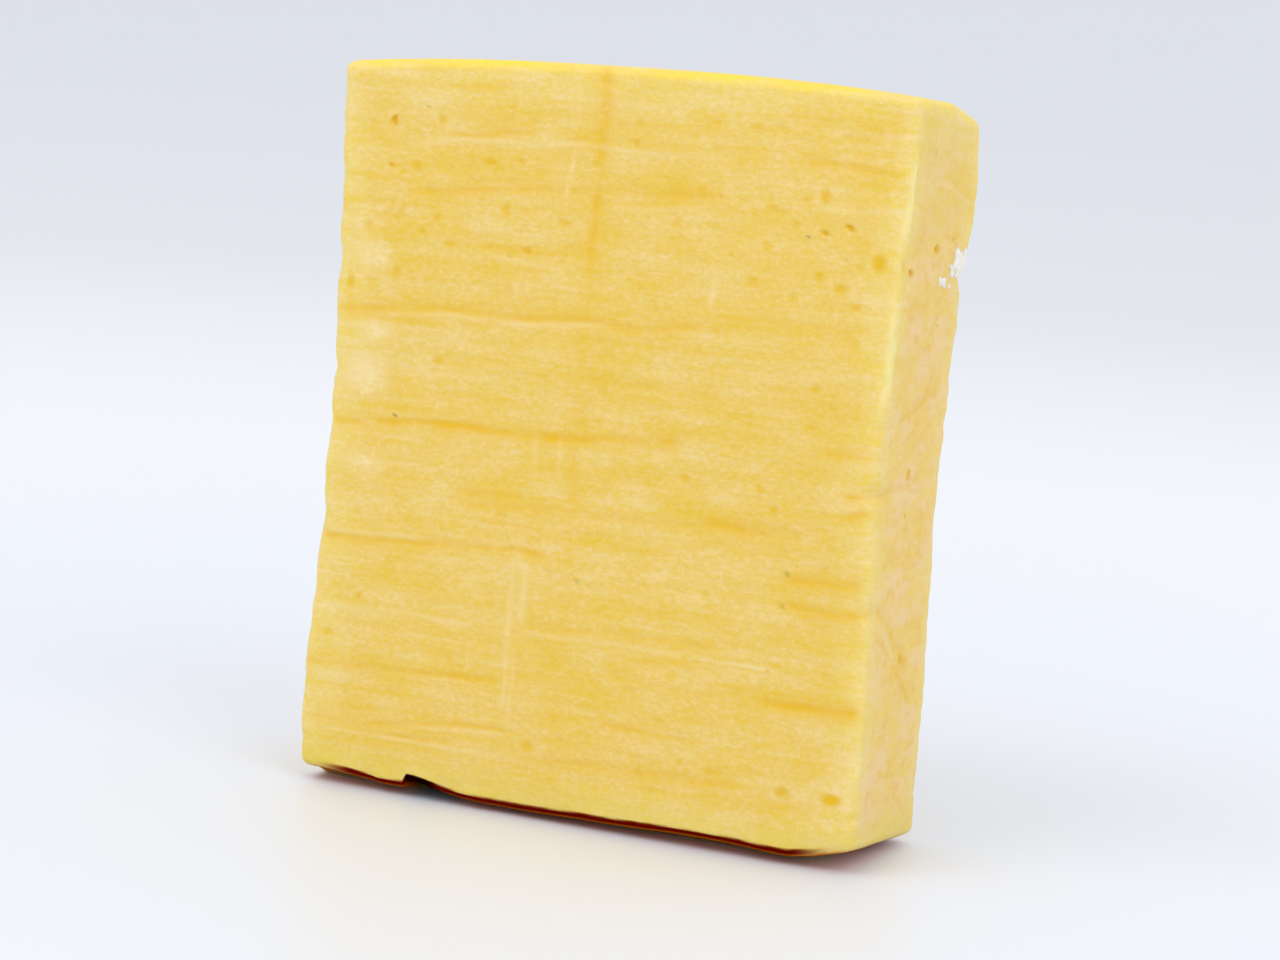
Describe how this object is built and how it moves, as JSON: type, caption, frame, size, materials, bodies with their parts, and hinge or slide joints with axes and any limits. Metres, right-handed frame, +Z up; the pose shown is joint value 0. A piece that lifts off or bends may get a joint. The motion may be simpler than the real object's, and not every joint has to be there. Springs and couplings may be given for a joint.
{
  "type": "cheddar block",
  "caption": "Upright slab of pale cheddar with soft rounded edges, level wrapping creases, a swollen upper back corner, a chipped lower edge and small open eyes.",
  "frame": {"origin": "centre of the bounding box's bottom face, on the surface that the block stands on", "axes": "+Z up along the block's longest side, X along its width with +X at the swollen corner's end, -Y out of the creased front face, +Y along its depth, the shortest side"},
  "size_m": [0.0858, 0.0276, 0.1044],
  "materials": {
    "pale_cheddar": "waxy, slightly translucent pale yellow cheese with level creases, whitish bloom near the edges and darker yellow eyes"
  },
  "bodies": {
    "root": {"cheddar_block": "pale_cheddar"}
  },
  "joints": []
}
